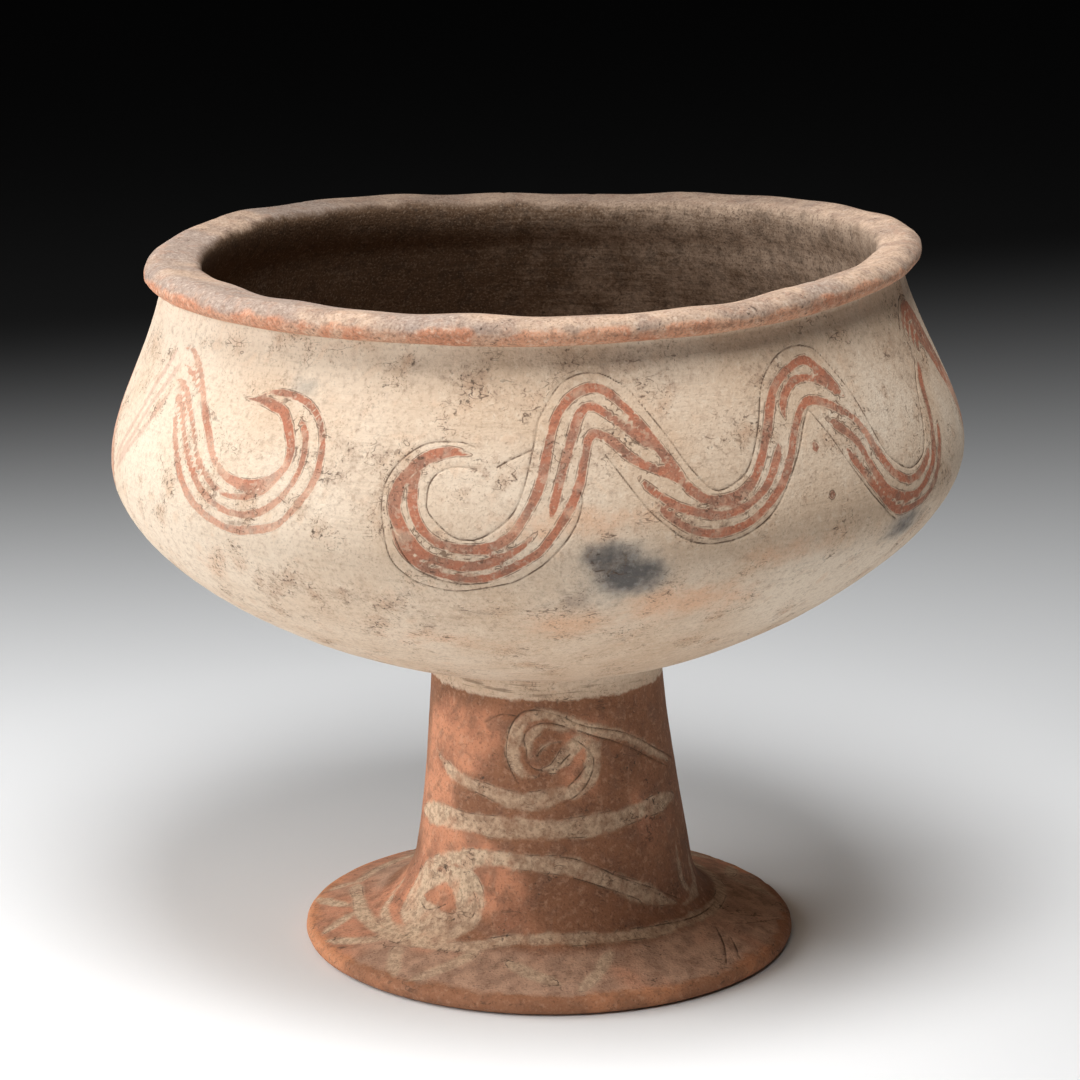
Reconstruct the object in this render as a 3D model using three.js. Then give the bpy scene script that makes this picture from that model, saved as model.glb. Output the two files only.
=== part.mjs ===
import * as THREE from 'three';
import { mergeVertices } from 'three/addons/utils/BufferGeometryUtils.js';

// Pedestal bowl: a wide, hand-built bowl of painted earthenware on a hollow, flared foot.
// Bowl and foot were joined before firing, so they are one piece of fired clay.
// Millimetres, +Z up. The origin is on the floor, under the middle of the bowl's greatest width.

// Foot
const FOOT_RADIUS = 86.2;
const FOOT_EDGE = 6.4;
const CROWN_RADIUS = 66;
const CROWN_HEIGHT = 10.8;
const SWEEP_OUT = 2;
const SWEEP_UP = 3.5;
const RING_INNER_RADIUS = 57;
const CAVITY_HEEL_HEIGHT = 24;

// Stem
const STEM_BASE_RADIUS = 48.5;
const STEM_BASE_HEIGHT = 31;
const STEM_WAIST_RADIUS = 43.2;
const STEM_WAIST_HEIGHT = 62;
const STEM_TOP_RADIUS = 40.3;
const STEM_HEIGHT = 103.6;
const STEM_WALL = 8;
const CAVITY_CORNER = 6;

// Bowl
const JOINT_FILLET = 4.5;
const UNDERSIDE_SLOPE = 0.19;
const UNDERSIDE_REACH = 36.5;
const SHOULDER_RADIUS = 145;
const SHOULDER_RISE = 72.5;
const SHOULDER_DROP = 29.8;
const SHOULDER_LIFT = 18.2;
const NECK_RADIUS = 124.3;
const NECK_RISE = 60.1;
const NECK_FLARE = 5;
const NECK_DROP = 21.5;
const BASE_WALL = 10;
const NECK_WALL = 7.6;
const FLOOR_THICKNESS = 10.5;

// Lip
const LIP_OVERHANG = 6.3;
const LIP_THICKNESS = 9.6;
const MOUTH_RADIUS = 112.6;
const MOUTH_EDGE_WIDTH = 4.2;
const MOUTH_EDGE_DROP = 3.4;
const LIP_UNDERCUT = 14;
const RIM_DROP = 1.1;

// Unevenness of hand building
const BOWL_TILT = 1.79;
const BOWL_NOD = 0.26;
const FOOT_SHIFT = 3.2;
const STEM_BASE_SHIFT = 4.6;
const STEM_TOP_SHIFT = 2.4;
const BELLY_SHIFT = 1.2;
const SHOULDER_SHIFT = 2.1;
const NECK_SHIFT = 2.1;
const LIP_SHIFT = 3.1;
const MOUTH_SHIFT = 1.8;
const OVALITY = [
  { lobes: 2, cosine: 0.0066, sine: -0.0064 },
  { lobes: 3, cosine: -0.0079, sine: 0.001 },
];
const RIM_WAVE = [
  { lobes: 2, cosine: 1.92, sine: -0.46 },
  { lobes: 3, cosine: 0.71, sine: 0.37 },
];
const LIP_KNOBS = [
  { lobes: 7, cosine: 0.22, sine: 0.18 },
  { lobes: 13, cosine: -0.16, sine: 0.2 },
  { lobes: 22, cosine: 0.18, sine: -0.12 },
];
const RIM_SAGS = [
  { angle: 6, halfWidth: 24, rise: -2 },
  { angle: 137, halfWidth: 22, rise: 1.6 },
];

const SEGMENTS = 66;

// Levels above the floor
const shoulderHeight = STEM_HEIGHT + SHOULDER_RISE;
const neckHeight = shoulderHeight + NECK_RISE;
const rimHeight = neckHeight + LIP_THICKNESS;
const mouthLevel = rimHeight - RIM_DROP - MOUTH_EDGE_DROP;
const crownEdgeRadius = FOOT_RADIUS - FOOT_EDGE / 2;

const point = (radius, height) => new THREE.Vector2(radius, height);
const smoothstep = THREE.MathUtils.smoothstep;
const { degToRad, lerp } = THREE.MathUtils;

function line(from, to) {
  return new THREE.LineCurve(from, to);
}

function bend(from, corner, to) {
  return new THREE.QuadraticBezierCurve(from, corner, to);
}

// Elliptic arc in the profile plane, turning anticlockwise
function arc(centre, halfWidth, halfHeight, startDegrees, endDegrees) {
  const [start, end] = [degToRad(startDegrees), degToRad(endDegrees)];
  return new THREE.EllipseCurve(centre.x, centre.y, halfWidth, halfHeight, start, end, false, 0);
}

// Points along a curve without the last one, which begins the next curve
function along(curve, steps) {
  return curve.getPoints(steps).slice(0, -1);
}

// Bowl's outer face, from the joint with the stem up to the shoulder and on to the neck
const jointPoint = point(STEM_TOP_RADIUS + JOINT_FILLET, STEM_HEIGHT + JOINT_FILLET * UNDERSIDE_SLOPE);
const underside = new THREE.CubicBezierCurve(
  jointPoint,
  point(jointPoint.x + UNDERSIDE_REACH, jointPoint.y + UNDERSIDE_REACH * UNDERSIDE_SLOPE),
  point(SHOULDER_RADIUS, shoulderHeight - SHOULDER_DROP),
  point(SHOULDER_RADIUS, shoulderHeight),
);
const shoulder = new THREE.CubicBezierCurve(
  point(SHOULDER_RADIUS, shoulderHeight),
  point(SHOULDER_RADIUS, shoulderHeight + SHOULDER_LIFT),
  point(NECK_RADIUS + NECK_FLARE, neckHeight - NECK_DROP),
  point(NECK_RADIUS, neckHeight),
);

// Inner face of a curve that climbs, one wall thickness inside it, from its top down
function innerFace(curve, steps, wallAtStart, wallAtEnd) {
  const face = [];
  for (let step = steps; step >= 0; step -= 1) {
    const share = step / steps;
    const outer = curve.getPoint(share);
    const tangent = curve.getTangent(share);
    const wall = lerp(wallAtStart, wallAtEnd, share);
    face.push(point(outer.x - tangent.y * wall, outer.y + tangent.x * wall));
  }
  return face;
}

const shoulderWall = (BASE_WALL + NECK_WALL) / 2;
const innerShoulder = innerFace(shoulder, 8, shoulderWall, NECK_WALL);
const innerUnderside = innerFace(underside, 9, BASE_WALL, shoulderWall);
const floorEdge = innerUnderside.at(-1);
const floorHeight = floorEdge.y - floorEdge.x * UNDERSIDE_SLOPE / 2;
const bowlFloor = bend(floorEdge, point(floorEdge.x / 2, floorHeight), point(0, floorHeight));
const wallBelowLip = innerShoulder.findIndex((face) => face.y < mouthLevel - LIP_UNDERCUT);

// Hollow of the stem and foot
const cavityTop = floorHeight - FLOOR_THICKNESS;
const cavityTopRadius = STEM_TOP_RADIUS - STEM_WALL;
const cavityRoof = point(cavityTopRadius - CAVITY_CORNER, cavityTop);
const cavityNeck = point(cavityTopRadius, cavityTop - CAVITY_CORNER);
const cavityHeel = point(STEM_BASE_RADIUS - STEM_WALL, CAVITY_HEEL_HEIGHT);
const stemTop = point(STEM_TOP_RADIUS, STEM_HEIGHT - JOINT_FILLET);

// Mouth's inner edge, below the rim's flat top, which falls a little towards it
const mouthEdge = point(MOUTH_RADIUS, mouthLevel);
const innerWallTop = innerShoulder[wallBelowLip];

// One closed outline from the roof of the foot's hollow, round the outside, to the bowl's floor
const profile = [
  point(0, cavityTop),
  ...along(bend(cavityRoof, point(cavityTopRadius, cavityTop), cavityNeck), 2),
  ...along(bend(cavityNeck, point(STEM_WAIST_RADIUS - STEM_WALL, STEM_WAIST_HEIGHT), cavityHeel), 3),
  ...along(bend(cavityHeel, point(cavityHeel.x, 0), point(RING_INNER_RADIUS, 0)), 4),
  point(RING_INNER_RADIUS, 0),
  ...along(arc(point(crownEdgeRadius, FOOT_EDGE / 2), FOOT_EDGE / 2, FOOT_EDGE / 2, -90, 90), 4),
  ...along(line(point(crownEdgeRadius, FOOT_EDGE), point(CROWN_RADIUS, CROWN_HEIGHT)), 1),
  ...along(bend(
    point(CROWN_RADIUS, CROWN_HEIGHT),
    point(STEM_BASE_RADIUS + SWEEP_OUT, CROWN_HEIGHT + SWEEP_UP),
    point(STEM_BASE_RADIUS, STEM_BASE_HEIGHT),
  ), 4),
  ...along(bend(
    point(STEM_BASE_RADIUS, STEM_BASE_HEIGHT),
    point(STEM_WAIST_RADIUS, STEM_WAIST_HEIGHT),
    stemTop,
  ), 4),
  ...along(bend(stemTop, point(STEM_TOP_RADIUS, STEM_HEIGHT), jointPoint), 2),
  ...along(underside, 11),
  ...along(shoulder, 8),
  ...along(arc(point(NECK_RADIUS, neckHeight + LIP_THICKNESS / 2), LIP_OVERHANG, LIP_THICKNESS / 2, -90, 90), 6),
  point(NECK_RADIUS, rimHeight),
  ...along(arc(point(MOUTH_RADIUS + MOUTH_EDGE_WIDTH, mouthLevel), MOUTH_EDGE_WIDTH, MOUTH_EDGE_DROP, 90, 180), 3),
  ...along(bend(mouthEdge, point(MOUTH_RADIUS, mouthLevel - LIP_UNDERCUT / 2), innerWallTop), 2),
  ...innerShoulder.slice(wallBelowLip, -1),
  ...innerUnderside.slice(0, -1),
  ...bowlFloor.getPoints(3),
];

// Sum of waves round the bowl at one angle
function waves(list, angle) {
  let sum = 0;
  for (const { lobes, cosine, sine } of list) {
    sum += cosine * Math.cos(lobes * angle) + sine * Math.sin(lobes * angle);
  }
  return sum;
}

// How far the middle of the vessel wanders towards +X, level by level
const axisLevels = [
  { height: FOOT_EDGE, shift: FOOT_SHIFT },
  { height: STEM_BASE_HEIGHT, shift: STEM_BASE_SHIFT },
  { height: STEM_HEIGHT, shift: STEM_TOP_SHIFT },
  { height: STEM_HEIGHT + SHOULDER_RISE / 2, shift: BELLY_SHIFT },
  { height: shoulderHeight, shift: SHOULDER_SHIFT },
  { height: neckHeight, shift: NECK_SHIFT },
  { height: rimHeight, shift: LIP_SHIFT },
];

function axisShift(height) {
  let shift = FOOT_SHIFT;
  for (let level = 1; level < axisLevels.length; level += 1) {
    const [below, above] = [axisLevels[level - 1], axisLevels[level]];
    shift += (above.shift - below.shift) * smoothstep(height, below.height, above.height);
  }
  return shift;
}

// Local lifts and sags of the rim at one angle
function rimSag(angle) {
  let rise = 0;
  for (const sag of RIM_SAGS) {
    const turn = Math.abs(angle - degToRad(sag.angle));
    const away = Math.min(turn, 2 * Math.PI - turn);
    rise += sag.rise * Math.exp(-((away / degToRad(sag.halfWidth)) ** 2));
  }
  return rise;
}

// Turns the true lathe form into the hand-built one: oval bowl, wavy rim, tilted bowl, leaning stem.
function makeUneven(vertex) {
  const angle = Math.atan2(vertex.y, vertex.x);
  const bowlShare = smoothstep(vertex.z, STEM_HEIGHT, neckHeight - NECK_DROP);
  const rimShare = smoothstep(vertex.z, neckHeight - NECK_RISE / 2, neckHeight);
  const lipShare = smoothstep(vertex.z, neckHeight, neckHeight + LIP_THICKNESS / 2);
  const radius = Math.hypot(vertex.x, vertex.y);
  const inMouth = 1 - smoothstep(radius, MOUTH_RADIUS + MOUTH_EDGE_WIDTH, NECK_RADIUS);
  const mouthShare = smoothstep(vertex.z, neckHeight - NECK_DROP, neckHeight) * inMouth;
  const rise = waves(RIM_WAVE, angle) + rimSag(angle);

  const swell = 1 + bowlShare * waves(OVALITY, angle);
  const x = vertex.x * swell + mouthShare * MOUTH_SHIFT;
  const y = vertex.y * swell;
  const z = vertex.z + rimShare * rise + lipShare * waves(LIP_KNOBS, angle);

  const tiltShare = smoothstep(vertex.z, STEM_HEIGHT - 2 * CAVITY_CORNER, STEM_HEIGHT + SHOULDER_RISE / 4);
  const tilt = Math.sin(degToRad(BOWL_TILT)) * tiltShare;
  const nod = Math.sin(degToRad(BOWL_NOD)) * tiltShare;
  const aboveJoint = z - STEM_HEIGHT;
  vertex.set(x - tilt * aboveJoint + axisShift(z), y - nod * aboveJoint, z + tilt * x + nod * y);
}

// Solid of revolution about +Z with its seam and its axis points closed, then made uneven
function handBuilt(outline) {
  const turned = new THREE.LatheGeometry(outline, SEGMENTS);
  turned.rotateX(Math.PI / 2);
  turned.deleteAttribute('normal');
  turned.deleteAttribute('uv');
  const solid = mergeVertices(turned, 1e-4);

  const corners = solid.getIndex().array;
  const kept = [];
  for (let face = 0; face < corners.length; face += 3) {
    const [a, b, c] = corners.slice(face, face + 3);
    if (a !== b && b !== c && c !== a) {
      kept.push(a, b, c);
    }
  }
  solid.setIndex(kept);

  const positions = solid.getAttribute('position');
  const vertex = new THREE.Vector3();
  for (let index = 0; index < positions.count; index += 1) {
    vertex.fromBufferAttribute(positions, index);
    makeUneven(vertex);
    positions.setXYZ(index, vertex.x, vertex.y, vertex.z);
  }
  solid.computeVertexNormals();
  return solid;
}

const clay = new THREE.MeshStandardMaterial({ color: 0xd8bd9c, roughness: 0.8, metalness: 0 });

const bowl = new THREE.Mesh(handBuilt(profile), clay);
bowl.name = 'pedestal_bowl';

const part = new THREE.Group();
part.add(bowl);

export default part;
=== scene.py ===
"""A wide round-shouldered bowl on a flared foot, of fired clay.

Cream slip with red stripes on the bowl, buff bands on stem and foot, and incised lines.
"""
import math

import bpy
import numpy as np
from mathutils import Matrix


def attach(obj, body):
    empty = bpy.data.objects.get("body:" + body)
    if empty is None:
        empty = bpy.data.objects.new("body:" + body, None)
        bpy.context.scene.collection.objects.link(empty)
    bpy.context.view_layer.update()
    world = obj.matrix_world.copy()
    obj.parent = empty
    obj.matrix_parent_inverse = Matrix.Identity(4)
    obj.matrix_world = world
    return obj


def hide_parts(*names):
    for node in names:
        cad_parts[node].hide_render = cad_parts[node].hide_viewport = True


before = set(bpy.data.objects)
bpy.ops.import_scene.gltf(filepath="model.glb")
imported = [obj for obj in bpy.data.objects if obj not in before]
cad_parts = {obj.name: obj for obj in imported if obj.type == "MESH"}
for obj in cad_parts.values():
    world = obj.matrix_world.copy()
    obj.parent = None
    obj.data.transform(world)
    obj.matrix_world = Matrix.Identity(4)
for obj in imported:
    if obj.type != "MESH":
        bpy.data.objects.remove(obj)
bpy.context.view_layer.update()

MILLIMETRE = 0.001

# Foot, in millimetres
FOOT_RADIUS = 86.2
FOOT_EDGE = 6.4
CROWN_RADIUS = 66
CROWN_HEIGHT = 10.8
SWEEP_OUT = 2
SWEEP_UP = 3.5
RING_INNER_RADIUS = 57
CAVITY_HEEL_HEIGHT = 24

# Stem
STEM_BASE_RADIUS = 48.5
STEM_BASE_HEIGHT = 31
STEM_WAIST_RADIUS = 43.2
STEM_WAIST_HEIGHT = 62
STEM_TOP_RADIUS = 40.3
STEM_HEIGHT = 103.6
STEM_WALL = 8
CAVITY_CORNER = 6

# Bowl
JOINT_FILLET = 4.5
UNDERSIDE_SLOPE = 0.19
UNDERSIDE_REACH = 36.5
SHOULDER_RADIUS = 145
SHOULDER_RISE = 72.5
SHOULDER_DROP = 29.8
SHOULDER_LIFT = 18.2
NECK_RADIUS = 124.3
NECK_RISE = 60.1
NECK_FLARE = 5
NECK_DROP = 21.5
BASE_WALL = 10
NECK_WALL = 7.6
FLOOR_THICKNESS = 10.5

# Lip
LIP_OVERHANG = 6.3
LIP_THICKNESS = 9.6
MOUTH_RADIUS = 112.6
MOUTH_EDGE_WIDTH = 4.2
MOUTH_EDGE_DROP = 3.4
LIP_UNDERCUT = 14
RIM_DROP = 1.1

# Unevenness of hand building: degrees, millimetres, and shares of the radius
BOWL_TILT = 1.79
BOWL_NOD = 0.26
MOUTH_SHIFT = 1.8
OVALITY = ((2, 0.0066, -0.0064), (3, -0.0079, 0.001))
RIM_WAVE = ((2, 1.92, -0.46), (3, 0.71, 0.37))
LIP_KNOBS = ((7, 0.22, 0.18), (13, -0.16, 0.2), (22, 0.18, -0.12))
RIM_SAGS = ((6, 24, -2.0), (137, 22, 1.6))

# Levels above the floor
shoulder_height = STEM_HEIGHT + SHOULDER_RISE
neck_height = shoulder_height + NECK_RISE
rim_height = neck_height + LIP_THICKNESS
crown_edge = FOOT_RADIUS - FOOT_EDGE / 2
AXIS_LEVELS = (
    (FOOT_EDGE, 3.2),
    (STEM_BASE_HEIGHT, 4.6),
    (STEM_HEIGHT, 2.4),
    (STEM_HEIGHT + SHOULDER_RISE / 2, 1.2),
    (shoulder_height, 2.1),
    (neck_height, 2.1),
    (rim_height, 3.1),
)

# Surface grid: columns round the axis, rows along the outline, and cell sizes in millimetres
TURN_COLUMNS = 2048
ROOT_ROWS = 8
ROOT_SIZE = 3.5
ROOT_STRETCH = 1.4
FEWEST_COLUMNS = 8
MOST_ROOT_COLUMNS = 256
SPLIT_ABOVE = 1.35
FINEST_CELL = 0.6
STRIPE_CELL = 1.3
STRIPE_REACH = 0.4
GROOVE_REACH = 0.22
GRADING = 2
ZONE_CELLS = {
    "hollow": 8,
    "ring": 8,
    "edge": 2.3,
    "foot": 2.9,
    "stem": 2.9,
    "underside": 3.9,
    "shoulder": 3.9,
    "lip": 1.9,
    "mouth": 2.3,
    "inside": 5.8,
    "floor": 6.5,
}

# Relief, in millimetres below the true form
GROOVE_DEPTH = 0.34
GROOVE_HALF_WIDTH = 0.42
SKIN_LOSS = 0.12
HAND_DENT = 0.3
HAND_DENT_SIZE = 34
SCRAPE_DEPTH = 0.05
SCRAPE_SIZE = 2.6
LIP_DENT = 0.1
LIP_DENT_SIZE = 30
CHIP_DEPTH = 0.9
CHIP_SIZE = 7
EDGE_WEAR = 0.08
EDGE_WEAR_SIZE = 8
BAND_EDGE_DEPTH = 0.16
BAND_EDGE_HALF_WIDTH = 0.7

# Strokes: how far their fields reach and their ends taper, in millimetres, and how they are cut up
FIELD_REACH = 3
POINT_SPACING = 1.5
BLOCK_POINTS = 40
STROKE_WAVER = 0.1
WAVER_LENGTH = 5
HOOK_TAPER = 13
PAINT_TAPER = 4.5
BAND_TAPER = 12
FOOT_TAPER = 5
SLIP_EDGE_HEIGHT = 96

# Soft blots of tone on the bowl: (turn, height, half of its turn, half of its height, strength)
FIRE_CLOUDS = (
    (-81.2, 172.3, 6.6, 9.5, 1.1),
    (-78.6, 165.5, 8, 11.5, 1.2),
    (-84, 158, 10, 10, 0.4),
    (-34.5, 164.5, 8, 9, 0.85),
    (-124, 221, 4.5, 6, 0.5),
)
BLUSHES = (
    (-86, 184, 18, 9, 0.7),
    (-71, 153, 16, 11, 1),
    (-87, 147, 12, 9, 0.7),
    (-57, 168, 14, 10, 0.6),
    (-104, 140, 16, 10, 0.4),
    (-140, 160, 14, 12, 0.3),
)
# Lighter patches low on the right: a lighter cream of the slip and, in part, painted light in place of bounce
# from the floor
PALE_AND_LIT_PATCHES = (
    (-46, 152, 34, 26, 0.95),
    (-14, 186, 20, 30, 0.5),
)
GRIME = (
    (-114, 196, 14, 22, 0.8),
    (-128, 152, 30, 16, 0.4),
    (-88, 204, 20, 26, 0.45),
    (-102, 228, 14, 12, 0.9),
    (-80, 230, 14, 10, 1),
    (-72, 226, 10, 10, 0.8),
    (-50, 220, 24, 16, 0.7),
    (-26, 214, 16, 22, 0.9),
    (-66, 176, 10, 9, 0.9),
    (-62, 200, 12, 14, 0.4),
    (-104, 150, 14, 12, 0.7),
    (-122, 158, 18, 8, 0.6),
    (-44, 196, 12, 12, 0.5),
    (-132, 206, 8, 12, 0.3),
    (30, 190, 40, 30, 0.6),
    (110, 220, 30, 16, 0.8),
    (170, 170, 40, 24, 0.6),
)


def bezier(*corners, steps=60):
    """Points (radius, height) along a Bezier curve of three or four corners."""
    t = np.linspace(0, 1, steps)[:, None]
    level = [np.array(corner, float) for corner in corners]
    while len(level) > 1:
        level = [(1 - t) * a + t * b for a, b in zip(level, level[1:])]
    return level[0]


def arc(centre, half_width, half_height, start, end, steps=40):
    """Elliptic arc in the profile plane, in degrees, anticlockwise."""
    turn = np.radians(np.linspace(start, end, steps))
    return np.array(centre) + np.stack([half_width * np.cos(turn), half_height * np.sin(turn)], axis=1)


def offset_line(line, distance):
    """A line beside another one, to its left where distance is positive."""
    tangent = np.gradient(line, axis=0)
    tangent /= np.linalg.norm(tangent, axis=1)[:, None]
    return line + distance * np.stack([-tangent[:, 1], tangent[:, 0]], axis=1)


def inner_face(curve, wall_at_start, wall_at_end):
    """One wall thickness inside a curve that climbs, from its top down."""
    return offset_line(curve, np.linspace(wall_at_start, wall_at_end, len(curve))[:, None])[::-1]


def profile_pieces():
    """The outline from the roof of the foot's hollow, round the outside, to the bowl's floor."""
    joint = (STEM_TOP_RADIUS + JOINT_FILLET, STEM_HEIGHT + JOINT_FILLET * UNDERSIDE_SLOPE)
    underside = bezier(
        joint,
        (joint[0] + UNDERSIDE_REACH, joint[1] + UNDERSIDE_REACH * UNDERSIDE_SLOPE),
        (SHOULDER_RADIUS, shoulder_height - SHOULDER_DROP),
        (SHOULDER_RADIUS, shoulder_height),
        steps=300,
    )
    shoulder = bezier(
        (SHOULDER_RADIUS, shoulder_height),
        (SHOULDER_RADIUS, shoulder_height + SHOULDER_LIFT),
        (NECK_RADIUS + NECK_FLARE, neck_height - NECK_DROP),
        (NECK_RADIUS, neck_height),
        steps=200,
    )
    shoulder_wall = (BASE_WALL + NECK_WALL) / 2
    inner_shoulder = inner_face(shoulder, shoulder_wall, NECK_WALL)
    inner_underside = inner_face(underside, BASE_WALL, shoulder_wall)
    edge_radius, edge_height = inner_underside[-1]
    floor_height = edge_height - edge_radius * UNDERSIDE_SLOPE / 2
    mouth_level = rim_height - RIM_DROP - MOUTH_EDGE_DROP
    inner_wall = inner_shoulder[inner_shoulder[:, 1] < mouth_level - LIP_UNDERCUT]

    cavity_top = floor_height - FLOOR_THICKNESS
    cavity_radius = STEM_TOP_RADIUS - STEM_WALL
    neck = (cavity_radius, cavity_top - CAVITY_CORNER)
    heel = (STEM_BASE_RADIUS - STEM_WALL, CAVITY_HEEL_HEIGHT)
    half_edge = FOOT_EDGE / 2
    stem_top = (STEM_TOP_RADIUS, STEM_HEIGHT - JOINT_FILLET)
    half_lip = LIP_THICKNESS / 2
    return {
        "hollow": np.concatenate([
            [(0, cavity_top)],
            bezier((cavity_radius - CAVITY_CORNER, cavity_top), (cavity_radius, cavity_top), neck, steps=12),
            bezier(neck, (STEM_WAIST_RADIUS - STEM_WALL, STEM_WAIST_HEIGHT), heel),
            bezier(heel, (heel[0], 0), (RING_INNER_RADIUS, 0)),
        ]),
        "ring": [(crown_edge, 0)],
        "edge": arc((crown_edge, half_edge), half_edge, half_edge, -90, 90),
        "foot": bezier(
            (CROWN_RADIUS, CROWN_HEIGHT),
            (STEM_BASE_RADIUS + SWEEP_OUT, CROWN_HEIGHT + SWEEP_UP),
            (STEM_BASE_RADIUS, STEM_BASE_HEIGHT),
        ),
        "stem": np.concatenate([
            bezier((STEM_BASE_RADIUS, STEM_BASE_HEIGHT), (STEM_WAIST_RADIUS, STEM_WAIST_HEIGHT), stem_top),
            bezier(stem_top, (STEM_TOP_RADIUS, STEM_HEIGHT), joint, steps=16),
        ]),
        "underside": underside,
        "shoulder": shoulder,
        "lip": arc((NECK_RADIUS, neck_height + half_lip), LIP_OVERHANG, half_lip, -90, 90),
        "mouth": np.concatenate([
            arc((MOUTH_RADIUS + MOUTH_EDGE_WIDTH, mouth_level), MOUTH_EDGE_WIDTH, MOUTH_EDGE_DROP, 90, 180),
            bezier(
                (MOUTH_RADIUS, mouth_level),
                (MOUTH_RADIUS, mouth_level - LIP_UNDERCUT / 2),
                inner_wall[0],
            ),
        ]),
        "inside": np.concatenate([inner_wall, inner_underside]),
        "floor": bezier((edge_radius, edge_height), (edge_radius / 2, floor_height), (0, floor_height)),
    }


class Profile:
    """The outline by its length in millimetres, with the place where each named piece ends."""

    def __init__(self):
        points = []
        self.ends = {}
        for name, piece in profile_pieces().items():
            for point in np.asarray(piece, float):
                if not points or math.dist(points[-1], point) > 1e-6:
                    points.append(point)
            self.ends[name] = len(points) - 1
        points = np.array(points)
        self.lengths = np.concatenate([[0], np.cumsum(np.linalg.norm(np.diff(points, axis=0), axis=1))])
        self.ends = {name: self.lengths[index] for name, index in self.ends.items()}
        self.radii, self.heights = points.T
        self.total = self.lengths[-1]

    def at(self, length):
        return np.interp(length, self.lengths, self.radii), np.interp(length, self.lengths, self.heights)

    def above_edge(self, last):
        """Where the outline runs from the foot's edge to the end of a named piece."""
        return (self.lengths >= self.ends["edge"]) & (self.lengths <= self.ends[last])

    def length_at_height(self, height):
        """Length on the outside, from the foot's edge to the lip, where the outline climbs."""
        span = self.above_edge("lip")
        return np.interp(height, self.heights[span], self.lengths[span])

    def length_at_radius(self, radius):
        """Length on the foot's top, where the outline runs inward."""
        span = self.above_edge("foot")
        return np.interp(-np.asarray(radius, float), -self.radii[span], self.lengths[span])


def smoothstep(value, low, high):
    share = np.clip((value - low) / (high - low), 0, 1)
    return share * share * (3 - 2 * share)


def turn_gap(turn, middle):
    """Degrees from a middle turn, from -180 to 180."""
    return (turn - middle + 180) % 360 - 180


def waves(table, angle):
    return sum(cosine * np.cos(lobes * angle) + sine * np.sin(lobes * angle) for lobes, cosine, sine in table)


def axis_shift(height):
    shift = AXIS_LEVELS[0][1]
    for (below, shift_below), (above, shift_above) in zip(AXIS_LEVELS, AXIS_LEVELS[1:]):
        shift = shift + (shift_above - shift_below) * smoothstep(height, below, above)
    return shift


def rim_sag(angle):
    rise = 0
    for middle, half_width, lift in RIM_SAGS:
        away = turn_gap(np.degrees(angle), middle)
        rise = rise + lift * np.exp(-((away / half_width) ** 2))
    return rise


def uneven(angle, radius, height):
    """Places of points of the true lathe form on the hand-built one, in millimetres."""
    bowl_share = smoothstep(height, STEM_HEIGHT, neck_height - NECK_DROP)
    rim_share = smoothstep(height, neck_height - NECK_RISE / 2, neck_height)
    lip_share = smoothstep(height, neck_height, neck_height + LIP_THICKNESS / 2)
    in_mouth = 1 - smoothstep(radius, MOUTH_RADIUS + MOUTH_EDGE_WIDTH, NECK_RADIUS)
    mouth_share = smoothstep(height, neck_height - NECK_DROP, neck_height) * in_mouth
    swell = 1 + bowl_share * waves(OVALITY, angle)
    x = radius * np.cos(angle) * swell + mouth_share * MOUTH_SHIFT
    y = radius * np.sin(angle) * swell
    z = height + rim_share * (waves(RIM_WAVE, angle) + rim_sag(angle)) + lip_share * waves(LIP_KNOBS, angle)
    tilt_share = smoothstep(height, STEM_HEIGHT - 2 * CAVITY_CORNER, STEM_HEIGHT + SHOULDER_RISE / 4)
    tilt = math.sin(math.radians(BOWL_TILT)) * tilt_share
    nod = math.sin(math.radians(BOWL_NOD)) * tilt_share
    above_joint = z - STEM_HEIGHT
    return np.stack([
        x - tilt * above_joint + axis_shift(z),
        y - nod * above_joint,
        z + tilt * x + nod * y,
    ], axis=-1)


# Red strokes: (width at the start, width at the end, points). A point is (turn in degrees, height in
# millimetres), with the turn counted from the +X side and -90 at the front.
HOOKS = (
    (3.1, 2.2, (
        (-150.6, 209.1), (-148.4, 202), (-146.2, 195.2), (-143.4, 187.4), (-140.4, 181.6), (-136.8, 177.7),
        (-132.6, 175.7), (-128.7, 176.8), (-125, 179.5), (-122.1, 186.2), (-120.1, 193.3), (-119.5, 201.1),
        (-119.9, 207.5), (-121.2, 212.7), (-123.6, 216.5), (-126.6, 218), (-129.6, 218.1), (-132.1, 216.3),
        (-133.6, 214.6),
    )),
    (2.8, 3.4, (
        (-153.4, 223.6), (-151.2, 225.6), (-148.6, 223.3), (-146.2, 219.1), (-144.5, 214.6), (-140, 202.4),
        (-138, 196.9), (-135.7, 192.8), (-133.4, 190.7), (-130.4, 190.2), (-127.8, 191.8), (-125.7, 194.7),
        (-124.6, 198.3), (-124.6, 203.7), (-126.8, 212.2), (-129, 214.1), (-131.9, 215), (-135.2, 214.8),
    )),
    (4.4, 3, (
        (-98.3, 203.8), (-100.4, 204.8), (-102.4, 204.4), (-104.5, 202.6), (-106.6, 198.9),
        (-107.9, 194.3), (-108.3, 189.4), (-107.7, 184.3), (-105.3, 176.4), (-103.5, 173.2),
        (-101.7, 171.8), (-99.3, 170.7), (-96.9, 171.3), (-92.8, 175.8), (-90, 181.9),
    )),
)
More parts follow.
